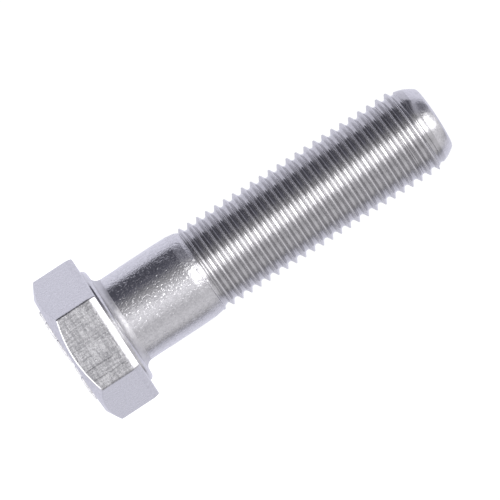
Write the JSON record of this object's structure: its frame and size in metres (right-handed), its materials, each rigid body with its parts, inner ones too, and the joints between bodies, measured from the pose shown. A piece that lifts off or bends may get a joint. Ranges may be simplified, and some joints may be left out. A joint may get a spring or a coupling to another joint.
{
  "type": "hex bolt",
  "caption": "Partly threaded steel hex bolt with a chamfered hexagon head, washer face, plain shank and a coarse right-hand thread ending in a chamfered point.",
  "frame": {"origin": "on the bolt's axis in the plane of the raised marks on top of the head, which the bolt stands on", "axes": "+Z along the bolt's axis from head to point, -Y and +Y square to two wrench flats, +X towards a corner of the hexagon"},
  "size_m": [0.0384, 0.0332, 0.1028],
  "materials": {
    "steel": "bright plain steel, slightly mottled on the wrench flats"
  },
  "bodies": {
    "root": {"hex_bolt": "steel"}
  },
  "joints": []
}
